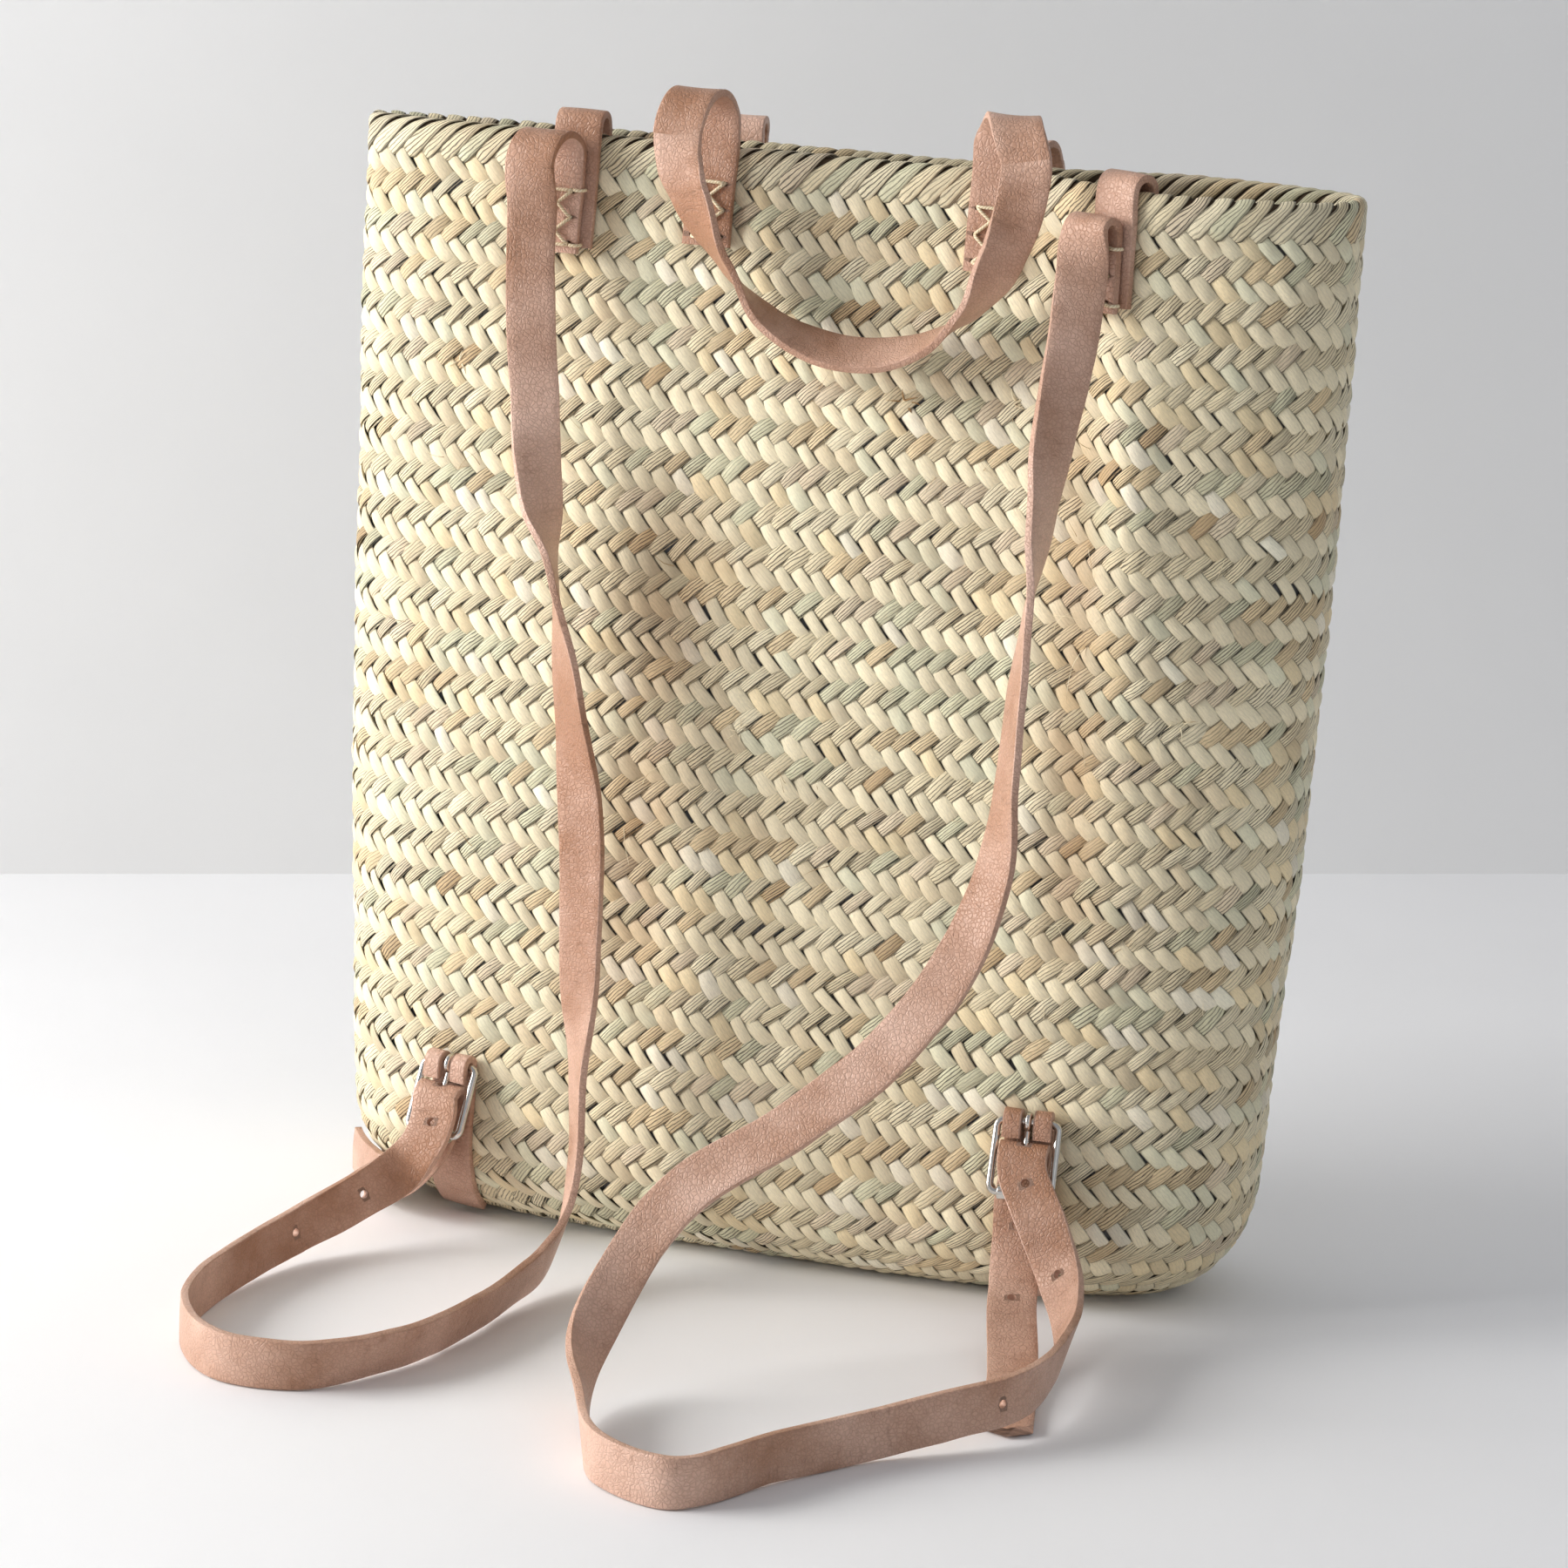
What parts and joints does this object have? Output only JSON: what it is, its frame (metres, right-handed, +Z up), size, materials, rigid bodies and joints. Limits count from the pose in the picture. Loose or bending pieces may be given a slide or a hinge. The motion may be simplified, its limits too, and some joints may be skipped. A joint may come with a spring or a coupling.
{
  "type": "pack basket",
  "caption": "Woven palm-leaf pack basket with a narrow curved mouth, swinging leather carry handles and buckled leather shoulder straps.",
  "frame": {"origin": "middle of the flat underside, on the surface that the basket stands on", "axes": "+Z up, +X along the width, -Y towards the side with the shoulder straps"},
  "size_m": [0.399, 0.3621, 0.4599],
  "materials": {
    "palm_leaf": "coiled palm-leaf braid, dry and slightly ribbed",
    "rim_leaf": "slanting palm-leaf wrapping over the rim",
    "natural_leather": "undyed vegetable-tanned strap, smooth grain face and raw suede back",
    "waxed_thread": "thick waxed thread",
    "nickel_plate": "bright nickel plate on steel wire and tube"
  },
  "bodies": {
    "basket": {"base_coil": "palm_leaf", "bottom_edge_course": "palm_leaf", "wall_course_1": "palm_leaf", "wall_course_2": "palm_leaf", "wall_course_3": "palm_leaf", "wall_course_4": "palm_leaf", "wall_course_5": "palm_leaf", "wall_course_6": "palm_leaf", "rim_wrap": "rim_leaf", "near_handle_left_end": "natural_leather", "near_handle_right_end": "natural_leather", "far_handle_left_end": "natural_leather", "far_handle_right_end": "natural_leather", "left_rim_strap": "natural_leather", "right_rim_strap": "natural_leather", "left_shoulder_strap": "natural_leather", "right_shoulder_strap": "natural_leather", "left_strap_tail": "natural_leather", "right_strap_tail": "natural_leather", "left_buckle_tab": "natural_leather", "right_buckle_tab": "natural_leather", "near_handle_left_stitching": "waxed_thread", "near_handle_right_stitching": "waxed_thread", "far_handle_left_stitching": "waxed_thread", "far_handle_right_stitching": "waxed_thread", "left_strap_stitching": "waxed_thread", "right_strap_stitching": "waxed_thread"},
    "near_handle": {"near_handle_strap": "natural_leather"},
    "far_handle": {"far_handle_strap": "natural_leather"},
    "left_buckle": {"left_buckle_frame": "nickel_plate", "left_strap_in_buckle": "natural_leather"},
    "left_prong": {"left_buckle_prong": "nickel_plate"},
    "left_roller": {"left_buckle_roller": "nickel_plate"},
    "right_buckle": {"right_buckle_frame": "nickel_plate", "right_strap_in_buckle": "natural_leather"},
    "right_prong": {"right_buckle_prong": "nickel_plate"},
    "right_roller": {"right_buckle_roller": "nickel_plate"}
  },
  "joints": [
    {"name": "near_handle_swing", "type": "hinge", "parent": "basket", "child": "near_handle", "pos_m": [0.01, -0.02833, 0.4595], "axis": [-1, 0, 0], "range_deg": [0, 170]},
    {"name": "far_handle_swing", "type": "hinge", "parent": "basket", "child": "far_handle", "pos_m": [0.0065, 0.02179, 0.445], "axis": [1, 0, 0], "range_deg": [0, 170]},
    {"name": "left_buckle_swing", "type": "hinge", "parent": "basket", "child": "left_buckle", "pos_m": [-0.12922, -0.05831, 0.068], "axis": [-0.9774, 0.2114, 0], "range_deg": [0, 60]},
    {"name": "left_prong_swing", "type": "hinge", "parent": "left_buckle", "child": "left_prong", "pos_m": [-0.12922, -0.05831, 0.068], "axis": [-0.9774, 0.2114, 0], "range_deg": [-6, 6]},
    {"name": "left_roller_spin", "type": "hinge", "parent": "left_buckle", "child": "left_roller", "pos_m": [-0.13163, -0.06945, 0.04242], "axis": [-0.9774, 0.2114, 0], "continuous": true},
    {"name": "right_buckle_swing", "type": "hinge", "parent": "basket", "child": "right_buckle", "pos_m": [0.10941, -0.06294, 0.08], "axis": [-0.9974, -0.0725, 0], "range_deg": [0, 60]},
    {"name": "right_prong_swing", "type": "hinge", "parent": "right_buckle", "child": "right_prong", "pos_m": [0.10941, -0.06294, 0.08], "axis": [-0.9974, -0.0725, 0], "range_deg": [-6, 6]},
    {"name": "right_roller_spin", "type": "hinge", "parent": "right_buckle", "child": "right_roller", "pos_m": [0.11023, -0.0743, 0.05442], "axis": [-0.9974, -0.0725, 0], "continuous": true}
  ]
}
